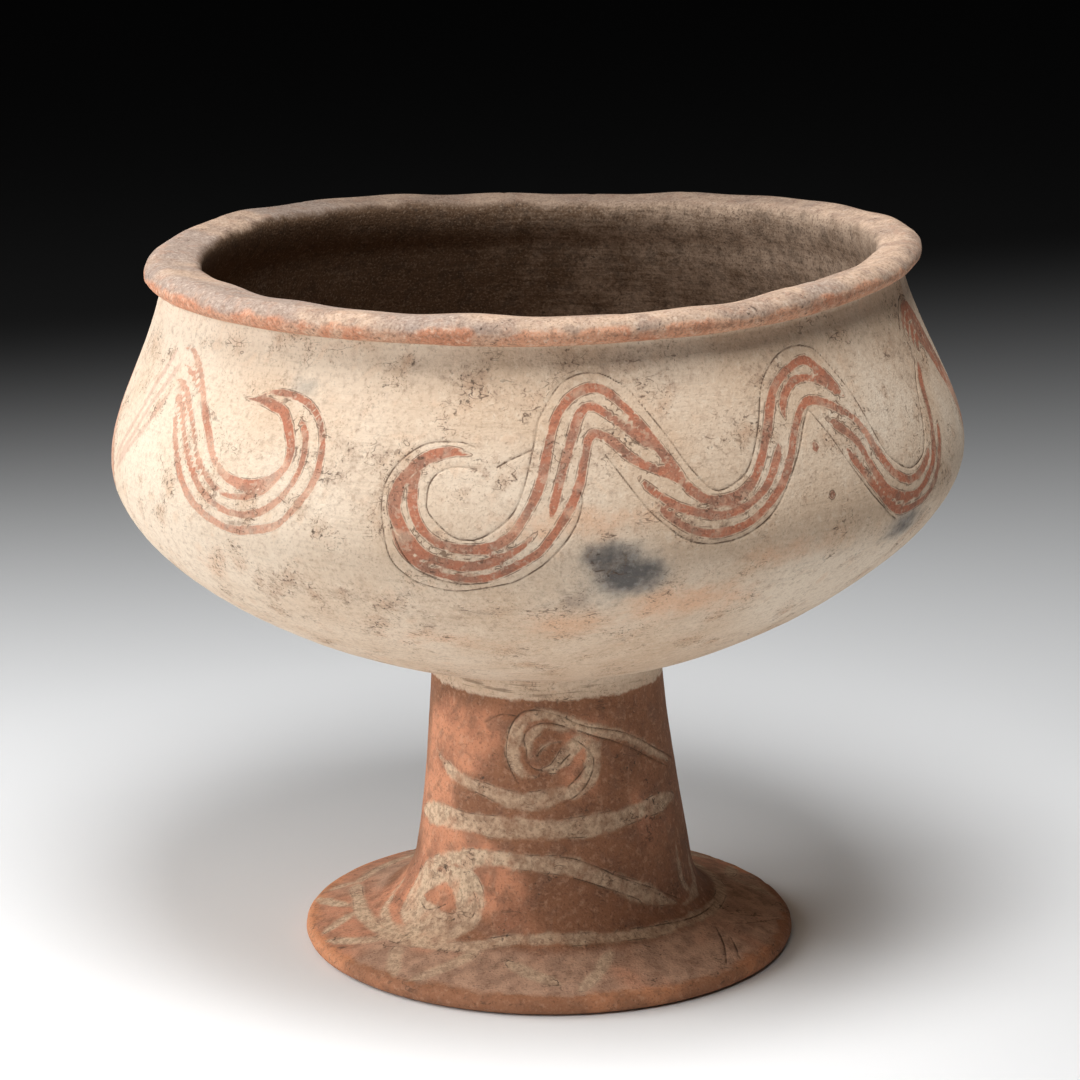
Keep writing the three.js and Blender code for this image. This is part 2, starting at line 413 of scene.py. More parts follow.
LEFT_CREST = (
    (2.7, 2.2, (
        (-151.9, 211.8), (-149, 209.3), (-147.1, 205), (-142.9, 194), (-140.1, 188), (-137, 183.5),
        (-133.8, 181.2), (-130.5, 181), (-127.4, 183.2), (-125, 187.3), (-123.2, 192.6), (-122.3, 198.8),
        (-122.3, 204.7), (-123, 208.7), (-124.3, 212.4),
    )),
    (2.5, 2, (
        (-152.6, 215.3), (-148.6, 213.3), (-143.6, 202.4), (-141, 195.3), (-138.2, 190.1), (-135.4, 186.9),
        (-132.2, 186.1), (-129.1, 187.7), (-126.7, 190.9), (-125.3, 194.5),
    )),
    (2.1, 1.7, ((-152.1, 219.9), (-149.1, 218.8), (-147.3, 216.8), (-145.2, 213.2))),
)
FRONT_WAVE = (
    (3, 2.9, (
        (-104.9, 199.9), (-105.8, 195.7), (-105.9, 190.8), (-105.5, 186.3), (-104.4, 181.8),
        (-102.7, 178.4), (-100.6, 176.6), (-98.2, 176.2), (-96.1, 176.8), (-94.2, 179), (-92.7, 182.4),
        (-90.5, 191.1), (-89.6, 196), (-88.9, 202), (-87.5, 213.4), (-85.1, 220.8), (-81.7, 223.4),
        (-78.5, 218), (-75.5, 208.8), (-74.5, 205), (-72.8, 198.6), (-71, 193),
    )),
    (2.6, 2.9, (
        (-108.5, 182), (-107.3, 176.8), (-105.9, 172.4), (-104.1, 169.4), (-102, 167.5), (-99.4, 166.2),
        (-97, 166.4), (-94.6, 168.6), (-90.5, 174.4), (-88.9, 178.4), (-86.3, 187.5), (-84.7, 195.6),
        (-84.2, 199.9), (-82.8, 209.3), (-80.3, 207.1), (-77.6, 201.2), (-72.3, 194.7), (-70.4, 190.2),
        (-68.4, 187.6),
    )),
    (3, 2.7, (
        (-88.5, 185.5), (-88.1, 189.3), (-87, 197.4), (-86.3, 202.3), (-84.3, 214.9), (-83.1, 217.4),
        (-81.6, 216.8), (-77.2, 208.5), (-74.3, 203.1),
    )),
    (3.2, 2.9, (
        (-72.3, 194.7), (-70.4, 189.9), (-68.4, 187.5), (-66.3, 187.1), (-64.3, 188.2), (-62.5, 191.2),
        (-61.1, 195.5), (-58.7, 205.5), (-57.5, 211.3), (-56.3, 216.2), (-54.4, 219.8), (-52.2, 222.4),
        (-50, 223.6), (-48.2, 221.8), (-44.2, 210.8),
    )),
    (2.6, 2.7, (
        (-77.4, 196.2), (-76.1, 192.7), (-72.6, 186.5), (-68.3, 182.9), (-66.2, 182.9), (-63.9, 184),
        (-60.5, 189.7), (-58.1, 198), (-57.4, 201.7),
    )),
    (2.4, 2.9, (
        (-55.6, 207.3), (-55.4, 211.3), (-54, 215.6), (-52, 218.3), (-49.8, 217.9), (-47.9, 216.4),
        (-44, 209.8),
    )),
    (2.7, 2.9, (
        (-75.3, 188.5), (-74.4, 184.9), (-71.4, 179.4), (-69.3, 177.6), (-67.3, 177.2), (-64.8, 178.2),
        (-62.5, 180.7), (-58.8, 187.9), (-56.2, 196.6), (-55.3, 201), (-52.6, 209.7), (-50.6, 211.4),
        (-48.4, 210), (-44.2, 204.2), (-42.8, 199.9), (-40.6, 189.3), (-38.8, 184), (-35.8, 180.2),
        (-32.7, 180.8), (-30.2, 183.9), (-28.6, 187.5),
    )),
    (2.9, 3, (
        (-49, 205.7), (-45.7, 199.4), (-44.3, 194.9), (-42.2, 184.3), (-40.2, 178.8), (-37.1, 175.3),
        (-33.5, 174.8), (-30.4, 178.1), (-27.9, 183.4), (-25, 196.8), (-23.8, 204.4), (-21.3, 211.3),
    )),
    (2.6, 2.7, (
        (-47, 196.4), (-45.9, 191.1), (-44.2, 185.3), (-42.6, 180.1), (-40.2, 174.3), (-37.1, 170.7),
        (-33.5, 170.6), (-30.4, 171.8), (-27.8, 176.6), (-24.1, 189.6), (-23.4, 193.7),
    )),
)
FAINT_ARMS = (
    (2.4, 2.1, (
        (-155.2, 224.2), (-156.4, 219.3), (-158.7, 211.3), (-160.3, 203.5), (-162.4, 195.9),
        (-165.4, 187.7), (-167.4, 181.1),
    )),
    (2.2, 2.1, (
        (-152.4, 220.8), (-155.2, 212.8), (-157.9, 204.6), (-160.1, 195.7), (-163.2, 187.5), (-166.2, 179),
    )),
    (2.1, 1.9, ((-153, 211), (-155, 205.2), (-157.3, 197.6), (-160.8, 190.1), (-165.5, 180.8))),
)
RED_DOTS = ((-52, 197.9, 1.6), (-51, 182.8, 1.2))

# Incised lines, each as its points only
INCISED_LINES = (
    (
        (-97.8, 199.7), (-99.3, 200.5), (-101, 200.4), (-102.8, 198.6), (-103.8, 195.3), (-104, 191.4),
        (-103.7, 187), (-100.8, 180.4), (-98.9, 179.2), (-97, 179.9), (-93.7, 185.5), (-91.9, 193.4),
        (-90.1, 209), (-89.5, 214.7), (-87.1, 223.3), (-85.3, 226.5), (-83.3, 227.9), (-80.9, 227.6),
        (-78.9, 225.1), (-76.9, 221.3), (-72.9, 207.2), (-70.7, 198.2), (-68.2, 190.8), (-66.4, 190.3),
        (-64.3, 192.4), (-62.5, 196), (-60.1, 206), (-58, 217.8), (-56.2, 222.9), (-53.8, 226.8),
        (-51, 228.3), (-48.5, 227.4), (-46.3, 224.2), (-43.2, 213.3), (-42, 206.9), (-39.9, 192.6),
        (-37.8, 186.8), (-35.1, 183.6), (-32.1, 184.6), (-29.7, 188.8), (-26, 204), (-22.3, 212.5),
    ),
    (
        (-97.9, 206.1), (-99.7, 207.5), (-102, 207.7), (-104.4, 207), (-106.6, 204.4), (-108.5, 200.3),
        (-109.7, 195.3), (-110, 189.7), (-109.7, 183.5), (-108.7, 172.3), (-106.3, 165.8), (-104.4, 163.6),
        (-102, 162.1), (-99.5, 161.9), (-94.7, 164.2), (-92.5, 166.1), (-88.9, 172.5), (-85.8, 181.8),
        (-84.6, 189.5), (-84.7, 192.8),
    ),
    (
        (-108.7, 184.3), (-108, 179.1), (-107, 173.9), (-105.6, 169.5), (-103.7, 166.9), (-101.6, 165.1),
        (-99.2, 164.3), (-96.5, 165),
    ),
    (
        (-81.2, 203.1), (-78.9, 195), (-77.4, 189.6), (-75.7, 184.3), (-72.3, 176.8), (-69.7, 174.3),
        (-67.3, 174), (-64.5, 175), (-60.2, 181), (-55.4, 195.6), (-52.7, 205.6), (-51.5, 208.6),
    ),
    (
        (-51.4, 209.2), (-49, 200.1), (-47.6, 193.5), (-45.7, 185.9), (-43.6, 179.2), (-40.5, 172.2),
        (-37.9, 168),
    ),
    ((-95.1, 200.5), (-93.4, 202.6), (-91.7, 204.2), (-90.4, 205.5)),
)
STEM_INCISIONS = (
    (
        (-104.8, 67.3), (-107.9, 71), (-110.1, 75.5), (-110.1, 80.8), (-108.6, 85.5), (-105.8, 89.2),
        (-101, 92.1), (-92.8, 92.5), (-82.9, 90.3), (-73, 86.9), (-54.2, 83.1), (-42.7, 79), (-30.2, 73.4),
        (-9.4, 65),
    ),
    ((-75.9, 85.4), (-67.6, 82.8), (-59.9, 80.8), (-49.4, 77.1), (-38.7, 72.3), (-21, 64.9)),
    (
        (-82.2, 87), (-88.5, 88.2), (-94.7, 87.9), (-99.8, 85.6), (-101.7, 82.5), (-100.5, 78.7),
        (-100.2, 74.8), (-97.1, 72.5), (-91.9, 72), (-86.7, 72.9), (-83, 75.5), (-80.2, 77.4),
    ),
    ((-95.7, 76.8), (-93.3, 79.2), (-88.8, 81.2), (-83.5, 81.8)),
    ((-76.2, 81.8), (-71, 78.2), (-69, 74.7), (-70.5, 70.2), (-74.1, 65.9), (-78.8, 62.9), (-84.1, 60.8)),
    ((-82, 66.3), (-77.3, 69.3), (-72.9, 73)),
    ((-120.5, 87.1), (-116.5, 89.1), (-111.5, 90.5), (-105.7, 90.3)),
    ((-131.4, 27.7), (-128.8, 25.3), (-127.4, 23.2)),
    ((-126.3, 29.2), (-123.1, 26.2), (-121.4, 22.6), (-122, 19.8)),
    ((-149.2, 19.1), (-144.1, 18.2), (-139.4, 19.7), (-136, 21.6)),
    (
        (-87.3, 42.4), (-80.5, 41.4), (-70.9, 38), (-63.1, 34.4), (-54.1, 30.5), (-44.9, 27),
        (-35.2, 22.4), (-29.3, 19.7),
    ),
    ((-81.6, 35), (-75, 33.1), (-68.3, 30.7), (-59.7, 27.4), (-53.1, 24.6), (-51.3, 21.7)),
    ((-56.9, 16.7), (-44.9, 15.9), (-34.2, 14.8), (-25.2, 14.1), (-10, 13.4)),
)

# Buff bands of the stem, in the same form as the red strokes
STEM_SCROLL = (
    (2.4, 5.6, (
        (-14.8, 65.2), (-31.8, 72.3), (-43.2, 77.9), (-54.1, 81.7), (-73, 86.7), (-88.4, 91),
        (-96.1, 90.7), (-102.1, 88), (-105.9, 83.6), (-107.3, 78.6), (-106, 73.8), (-102.1, 70.5),
        (-96, 69.3),
    )),
    (4.6, 2.4, ((-98.6, 74.8), (-99.8, 79.7), (-98.3, 84), (-92.4, 86.9), (-85.7, 86.8), (-80, 85.3))),
    (2.6, 2, ((-95.7, 76.3), (-93.7, 79.2), (-88.9, 81.2), (-83.1, 81.9))),
    (6.4, 5, (
        (-94, 72.1), (-87.5, 72.8), (-82.6, 76.3), (-78.5, 79.6), (-73.4, 81.5), (-68.9, 77.6),
        (-70.7, 70), (-76.1, 64.8), (-82.8, 61.6),
    )),
)
STEM_BANDS = (
    (3, 7, (
        (-158.2, 72.3), (-141.7, 66.3), (-131.9, 64.4), (-122.6, 63.7), (-106.5, 61.1), (-98.2, 61.5),
        (-89.1, 63.1), (-79.8, 64.9), (-74.3, 68.9),
    )),
    (8, 6, (
        (-171.9, 46.9), (-147.7, 49.9), (-133.4, 50.6), (-110.3, 51.4), (-88.8, 51.9), (-66.9, 52.8),
        (-44.7, 54.6), (-30.9, 54.7), (-16.5, 54.2),
    )),
    (5, 6.4, (
        (-157.4, 18.6), (-159.8, 23.8), (-153.6, 29.8), (-141.5, 35.8), (-126.8, 39), (-114.2, 40.4),
        (-97, 40), (-81.5, 38.8), (-70.3, 34.5), (-58.4, 29.6), (-45.2, 24.3), (-32.9, 19.3),
    )),
    (10, 11, (
        (-140, 28.9), (-151.4, 26.1), (-155.9, 21.4), (-153.3, 17.5), (-144.1, 16), (-134.7, 15.6),
        (-127.3, 16.5), (-123.7, 20.1), (-125.1, 24.8), (-129, 29.3), (-136, 30.7), (-145, 30),
    )),
    (3.6, 3.6, ((-24.9, 39.3), (-25.3, 34.5), (-24.3, 25), (-21.3, 20.6), (-20.3, 17.9))),
    (3.6, 3.6, ((-11.6, 35.7), (-10, 29), (-9.7, 22.6), (-16.1, 19.6), (-23.5, 18.2), (-30.7, 18.5))),
)

# Bands and incised lines of the foot's top: a point is (turn, radius)
FOOT_RING = (
    (4.2, 4.2, (
        (-197, 72.6), (-183, 68.2), (-169, 67), (-146, 66.2), (-124, 61.8), (-102, 55.8), (-76, 55.6),
        (-44, 56.8), (-19, 58.6), (11, 61.9), (60, 66), (110, 70), (163, 72.6),
    )),
    (2.8, 2.8, ((-177, 51.5), (-172, 56), (-163, 60.3), (-152, 62.8), (-134, 60.9), (-123, 57.5))),
)
FOOT_ZIGZAG = (
    (4.2, 3.6, ((-190, 85.2), (-177, 70.7))),
    (3.6, 3.6, ((-163, 82.8), (-171, 68.7))),
    (3.9, 3.6, ((-159, 83.4), (-146, 68.2))),
    (3.9, 4.8, ((-140, 68), (-129, 83))),
    (4.8, 3.9, ((-125, 83.1), (-113, 60.7))),
    (3.9, 4.8, ((-104, 63.9), (-87, 76.6))),
    (3.6, 3.6, ((-194, 83.4), (-199, 73.8))),
    (4.5, 3.6, ((-83, 80.5), (-70, 59.8))),
)
FOOT_INCISIONS = (
    ((-27, 64.6), (-42, 81.1)),
    ((-29, 71.7), (-36, 80.3)),
    ((-14, 64.5), (-5, 81)),
    ((-6, 81.7), (-21, 67.2)),
)
BACK_ZIGZAG_TURNS = (22, 54, 86, 118)
BACK_ZIGZAG_HALF = 13
ZIGZAG_OUTER = 82
ZIGZAG_INNER = 70

# Wave bands that carry the pattern round the back
CREST_PERIOD = 33.5
WAVE_MIDDLE = 200
WAVE_HEIGHT = 22
STRIPE_OFFSETS = (-5.2, -1.8, 1.8, 5.2)
OUTLINE_OFFSET = 8.2
BACK_STRIPE_WIDTH = 2.8
BACK_WAVES = ((-21, -17, 1), (-168, -153, -1))
BACK_SWING = 2.45
HOOK_RADIUS = 13

PAINTED = ("red", "faint", "band")


def smooth_line(points, spacing):
    """A smooth curve through the points, as points about one spacing apart."""
    points = np.asarray(points, float)
    padded = np.vstack([2 * points[0] - points[1], points, 2 * points[-1] - points[-2]])
    parts = []
    for before, start, end, after in zip(padded, padded[1:], padded[2:], padded[3:]):
        count = max(2, math.ceil(np.linalg.norm(end - start) / spacing))
        t = np.linspace(0, 1, count, endpoint=False)[:, None]
        square = (2 * before - 5 * start + 4 * end - after) * t**2
        cube = (3 * start - before - 3 * end + after) * t**3
        parts.append(start + ((end - before) * t + (square + cube)) / 2)
    return np.vstack([*parts, points[-1:]])


def back_wave(first_turn, crest_turn, direction):
    """Middle line of a wave band that ends in a hook, in millimetres round the shoulder and up."""
    turn = first_turn + direction * np.linspace(0, BACK_SWING * CREST_PERIOD, 60)
    rise = WAVE_MIDDLE + WAVE_HEIGHT * np.cos(2 * math.pi * (turn - crest_turn) / CREST_PERIOD)
    line = np.stack([np.radians(turn) * SHOULDER_RADIUS, rise], axis=1)
    lowest = np.argmin(np.where(np.abs(turn - turn[-1]) < CREST_PERIOD / 2, rise, np.inf))
    line = line[: lowest + 1]
    swing = np.radians(np.linspace(-90, 150, 26))[1:]
    centre = line[-1] + np.array([0, HOOK_RADIUS])
    hook = centre + HOOK_RADIUS * np.stack([direction * np.cos(swing), np.sin(swing)], axis=1)
    return np.vstack([line, hook])


class Stroke:
    """A line on the surface, as turns in radians and lengths along the outline, with its half widths."""

    def __init__(self, turn, length, radius, width_at_start, width_at_end, taper):
        self.turn = turn
        self.length = length
        steps = np.hypot(np.diff(turn) * (radius[1:] + radius[:-1]) / 2, np.diff(length))
        along = np.concatenate([[0], np.cumsum(steps)])
        share = along / along[-1]
        width = width_at_start + (width_at_end - width_at_start) * share
        width = width * (1 + STROKE_WAVER * np.sin(along / WAVER_LENGTH + 7 * turn[0]))
        if taper:
            width = width * np.clip(np.minimum(along, along[-1] - along) / taper, 0, 1) ** 0.7
        self.half = width / 2

    def distance(self, turn, length, radius, reach):
        """Indices of the places within reach of the line, their distances to it, and its half width there."""
        found, nearest, halves = [], [], []
        for first in range(0, len(self.turn) - 1, BLOCK_POINTS):
            part = slice(first, min(first + BLOCK_POINTS, len(self.turn) - 1) + 1)
            line_turn, line_length, line_half = self.turn[part], self.length[part], self.half[part]
            middle = (line_turn.min() + line_turn.max()) / 2
            away = (turn - middle + math.pi) % (2 * math.pi) - math.pi
            room = np.ptp(line_turn) / 2 + reach / np.maximum(radius, 1)
            near = (length > line_length.min() - reach) & (length < line_length.max() + reach)
            near = np.flatnonzero(near & (np.abs(away) < room))
            if not len(near):
                continue
            scale = radius[near][:, None]
            start_x = (line_turn[:-1] - middle) * scale
            step_x = np.diff(line_turn) * scale
            step_y = np.diff(line_length)
            x = away[near][:, None] * scale - start_x
            y = length[near][:, None] - line_length[:-1]
            share = np.clip((x * step_x + y * step_y) / np.maximum(step_x**2 + step_y**2, 1e-9), 0, 1)
            gap = np.hypot(x - share * step_x, y - share * step_y)
            best = np.argmin(gap, axis=1)
            row = np.arange(len(near))
            found.append(near)
            nearest.append(gap[row, best])
            halves.append(line_half[best] + share[row, best] * np.diff(line_half)[best])
        if not found:
            return np.zeros(0, int), np.zeros(0), np.zeros(0)
        return np.concatenate(found), np.concatenate(nearest), np.concatenate(halves)


def stroke_through(profile, points, width_at_start=0, width_at_end=0, taper=0, on_foot=False):
    """A stroke through points given as turns and heights, or turns and radii on the foot's top."""
    line = smooth_line(points, POINT_SPACING)
    turn = np.radians(line[:, 0])
    length = profile.length_at_radius(line[:, 1]) if on_foot else profile.length_at_height(line[:, 1])
    return Stroke(turn, length, profile.at(length)[0], width_at_start, width_at_end, taper)


def stroke_beside(profile, middle, distance, width):
    """A stroke beside a back wave's middle line."""
    line = offset_line(middle, distance)
    turn = line[:, 0] / SHOULDER_RADIUS
    length = profile.length_at_height(line[:, 1])
    return Stroke(turn, length, profile.at(length)[0], width, width, PAINT_TAPER if width else 0)


class Marks:
    """Every painted and incised mark, as groups of strokes."""

    def __init__(self, profile):
        self.profile = profile
        self.red = self.strokes(HOOKS, HOOK_TAPER) + self.strokes(LEFT_CREST + FRONT_WAVE, PAINT_TAPER)
        self.faint = self.strokes(FAINT_ARMS, PAINT_TAPER)
        self.band = self.strokes(STEM_SCROLL + STEM_BANDS, BAND_TAPER)
        self.band += self.strokes(FOOT_RING + FOOT_ZIGZAG, FOOT_TAPER, on_foot=True)
        self.band += self.strokes(STEM_BANDS[:4], BAND_TAPER, moved=180)
        self.lines = [stroke_through(profile, points) for points in INCISED_LINES + STEM_INCISIONS]
        self.lines += [stroke_through(profile, points, on_foot=True) for points in FOOT_INCISIONS]
        for turn in BACK_ZIGZAG_TURNS:
            for side in (-BACK_ZIGZAG_HALF, BACK_ZIGZAG_HALF):
                leg = ((4, 3.6, ((turn + side, ZIGZAG_OUTER), (turn, ZIGZAG_INNER))),)
                self.band += self.strokes(leg, FOOT_TAPER, on_foot=True)
        for wave in BACK_WAVES:
            middle = back_wave(*wave)
            for side in STRIPE_OFFSETS:
                self.red.append(stroke_beside(profile, middle, side, BACK_STRIPE_WIDTH))
            for side in (-OUTLINE_OFFSET, OUTLINE_OFFSET):
                self.lines.append(stroke_beside(profile, middle, side, 0))

    def strokes(self, rows, taper, on_foot=False, moved=0):
        """Strokes from a table, turned round the axis by some degrees."""
        found = []
        for start, end, points in rows:
            places = [(turn + moved, level) for turn, level in points]
            found.append(stroke_through(self.profile, places, start, end, taper, on_foot))
        return found

    def inside_field(self, strokes, turn, length, radius):
        """Millimetres inside the edge of the nearest stroke, negative outside, no further than the reach."""
        field = np.full(len(turn), -float(FIELD_REACH))
        for stroke in strokes:
            places, gap, half = stroke.distance(turn, length, radius, FIELD_REACH + stroke.half.max())
            np.maximum.at(field, places, half - gap)
        return field

    def groove_distance(self, turn, length, radius):
        """Millimetres to the nearest incised line, no further than the reach."""
        field = np.full(len(turn), float(FIELD_REACH))
        for stroke in self.lines:
            places, gap, _ = stroke.distance(turn, length, radius, FIELD_REACH)
            np.minimum.at(field, places, gap)
        return field

    def fields(self, turn, length, radius):
        """Distances at places on the surface, by the name of the group."""
        found = {name: self.inside_field(getattr(self, name), turn, length, radius) for name in PAINTED}
        height = self.profile.at(length)[1]
        for dot_turn, dot_height, dot_radius in RED_DOTS:
            away = np.radians(turn_gap(np.degrees(turn), dot_turn)) * radius
            gap = np.hypot(away, height - dot_height)
            found["red"] = np.maximum(found["red"], np.where(gap < 6, dot_radius - gap, -FIELD_REACH))
        return found | {"groove": self.groove_distance(turn, length, radius)}


def zone_of(profile, length):
    """Largest cell allowed at each length."""
    ends = list(profile.ends.values())
    index = np.clip(np.searchsorted(ends, length), 0, len(ends) - 1)
    return np.array(list(ZONE_CELLS.values()), float)[index]


def surface_cells(profile, marks):
    """Cells of the surface as (first column, first row, columns, rows), small near the marks."""
    rows = ROOT_ROWS * math.ceil(profile.total / ROOT_SIZE)
    row_length = profile.total / rows
    column_turn = 2 * math.pi / TURN_COLUMNS
    cells = []
    for row in range(0, rows, ROOT_ROWS):
        radius = profile.at((row + ROOT_ROWS / 2) * row_length)[0]
        columns = FEWEST_COLUMNS
        while columns < MOST_ROOT_COLUMNS and 2 * math.pi * radius / columns > ROOT_STRETCH * ROOT_SIZE:
            columns *= 2
        width = TURN_COLUMNS // columns
        cells += [(column * width, row, width, ROOT_ROWS) for column in range(columns)]
    cells = np.array(cells)
    done = []
    while len(cells):
        turn = (cells[:, 0] + cells[:, 2] / 2) * column_turn
        length = (cells[:, 1] + cells[:, 3] / 2) * row_length
        radius = profile.at(length)[0]
        width = cells[:, 2] * column_turn * radius
        tall = cells[:, 3] * row_length
        reach = np.maximum(width, tall) / 2
        target = zone_of(profile, length)
        field = marks.fields(turn, length, radius)
        for name in PAINTED:
            away = np.maximum(np.abs(field[name]) - STRIPE_REACH - reach, 0)
            target = np.minimum(target, STRIPE_CELL + GRADING * away)
        away = np.maximum(field["groove"] - GROOVE_REACH - reach, 0)
        target = np.minimum(target, FINEST_CELL + GRADING * away)
        across = (width >= tall) & (cells[:, 2] > 1)
        along = ~across & (cells[:, 3] > 1)
        split = (np.maximum(width, tall) > SPLIT_ABOVE * target) & (across | along)
        done.append(cells[~split])
        halves = []
        for chosen, first, size in ((split & across, 0, 2), (split & along, 1, 3)):
            low = cells[chosen].copy()
            low[:, size] //= 2
            high = low.copy()
            high[:, first] += low[:, size]
            halves += [low, high]
        cells = np.concatenate(halves)
    return np.concatenate(done), rows


def closed_faces(cells, rows):
    """Grid points (column, row) and faces over them; a corner that hangs on a cell's edge is taken in."""
    column, row, width, tall = cells.T
    corners = [(column, row), (column + width, row), (column + width, row + tall), (column, row + tall)]

    def key_of(across, down):
        pole = (down == 0) | (down == rows)
        return down * TURN_COLUMNS + np.where(pole, 0, across % TURN_COLUMNS)

    keys = np.unique(np.concatenate([key_of(*corner) for corner in corners]))
    by_column = np.sort((keys % TURN_COLUMNS) * (rows + 1) + keys // TURN_COLUMNS)

    def between(sorted_keys, start, end):
        return np.searchsorted(sorted_keys, start, "right"), np.searchsorted(sorted_keys, end, "left")

    def up_the_side(side, cell):
        """Keys of the corners that hang on one upright side of a cell."""
        places = by_column[side[0][cell]:side[1][cell]]
        return (places % (rows + 1) * TURN_COLUMNS + places // (rows + 1)).tolist()

    low = between(keys, row * TURN_COLUMNS + column, row * TURN_COLUMNS + column + width)
    high = between(keys, (row + tall) * TURN_COLUMNS + column, (row + tall) * TURN_COLUMNS + column + width)
    left = column * (rows + 1)
    right = (column + width) % TURN_COLUMNS * (rows + 1)
    start = between(by_column, left + row, left + row + tall)
    end = between(by_column, right + row, right + row + tall)
    at_pole = (row == 0) | (row + tall == rows)
    hanging = sum(last - first for first, last in (low, high, start, end))
    plain = (hanging == 0) & ~at_pole
    corner_keys = np.stack([key_of(*corner) for corner in corners], axis=1)
    index = {key: place for place, key in enumerate(keys.tolist())}
    quads = np.searchsorted(keys, corner_keys[plain]).tolist()
    fans = []
    centres = []
    for cell in np.flatnonzero(~plain):
        loop = [corner_keys[cell, 0]]
        if row[cell] > 0:
            loop += keys[low[0][cell]:low[1][cell]].tolist()
        loop.append(corner_keys[cell, 1])
        loop += up_the_side(end, cell)
        loop.append(corner_keys[cell, 2])
        if row[cell] + tall[cell] < rows:
            loop += keys[high[0][cell]:high[1][cell]].tolist()[::-1]
        loop.append(corner_keys[cell, 3])
        loop += up_the_side(start, cell)[::-1]
        loop = [index[key] for key, before in zip(loop, loop[-1:] + loop[:-1]) if key != before]
        if len(loop) == 3:
            fans.append(loop)
            continue
        middle = len(keys) + len(centres)
        centres.append((column[cell] + width[cell] / 2, row[cell] + tall[cell] / 2))
        fans += [[first, second, middle] for first, second in zip(loop, loop[1:] + loop[:1])]
    points = np.stack([keys % TURN_COLUMNS, keys // TURN_COLUMNS], axis=1).astype(float)
    if centres:
        points = np.vstack([points, np.array(centres, float)])
    return points, quads + fans


def ripple(places, size, seed, waves_in_it=18):
    """Smooth irregular relief from -1 to 1 of about one size across, at places in millimetres."""
    draw = np.random.default_rng(seed)
    direction = draw.normal(size=(waves_in_it, 3))
    direction /= np.linalg.norm(direction, axis=1)[:, None]
    pace = 2 * math.pi / (size * draw.uniform(0.7, 1.6, waves_in_it))
    phase = draw.uniform(0, 2 * math.pi, waves_in_it)
    total = np.cos(places @ (direction * pace[:, None]).T + phase).sum(axis=1)
    return np.clip(total / math.sqrt(waves_in_it / 2) / 2.2, -1, 1)


def mottle(places, size, seed, octaves=3):
    """Cloudy pattern of about one size across with finer steps in it, mostly from -1 to 1."""
    return 1.7 * sum(ripple(places, size / 2**step, seed + step) / 1.7**step for step in range(octaves))


def blots(table, turn, height):
    """Soft blots from a table, no deeper than their own strength."""
    total = np.zeros(len(turn))
    for middle_turn, middle_height, half_turn, half_height, strength in table:
        away = np.hypot(turn_gap(turn, middle_turn) / half_turn, (height - middle_height) / half_height)
        total = np.maximum(total, strength * (1 - smoothstep(away, 0.1, 1)))
    return total


def outward(profile, turn, length):
    """Unit vectors that point out of the clay."""
    step = 0.2
    turn_step = 0.002

    def place(a, b):
        return uneven(a, *profile.at(b))

    round_it = place(turn + turn_step, length) - place(turn - turn_step, length)
    up_it = place(turn, np.minimum(length + step, profile.total)) - place(turn, np.maximum(length - step, 0))
    normal = np.cross(round_it, up_it)
    size = np.linalg.norm(normal, axis=1)
    flat = size < 1e-9
    normal[flat] = (0, 0, 1)
    normal[flat & (length < profile.total / 2)] = (0, 0, -1)
    return normal / np.where(flat, 1, size)[:, None]


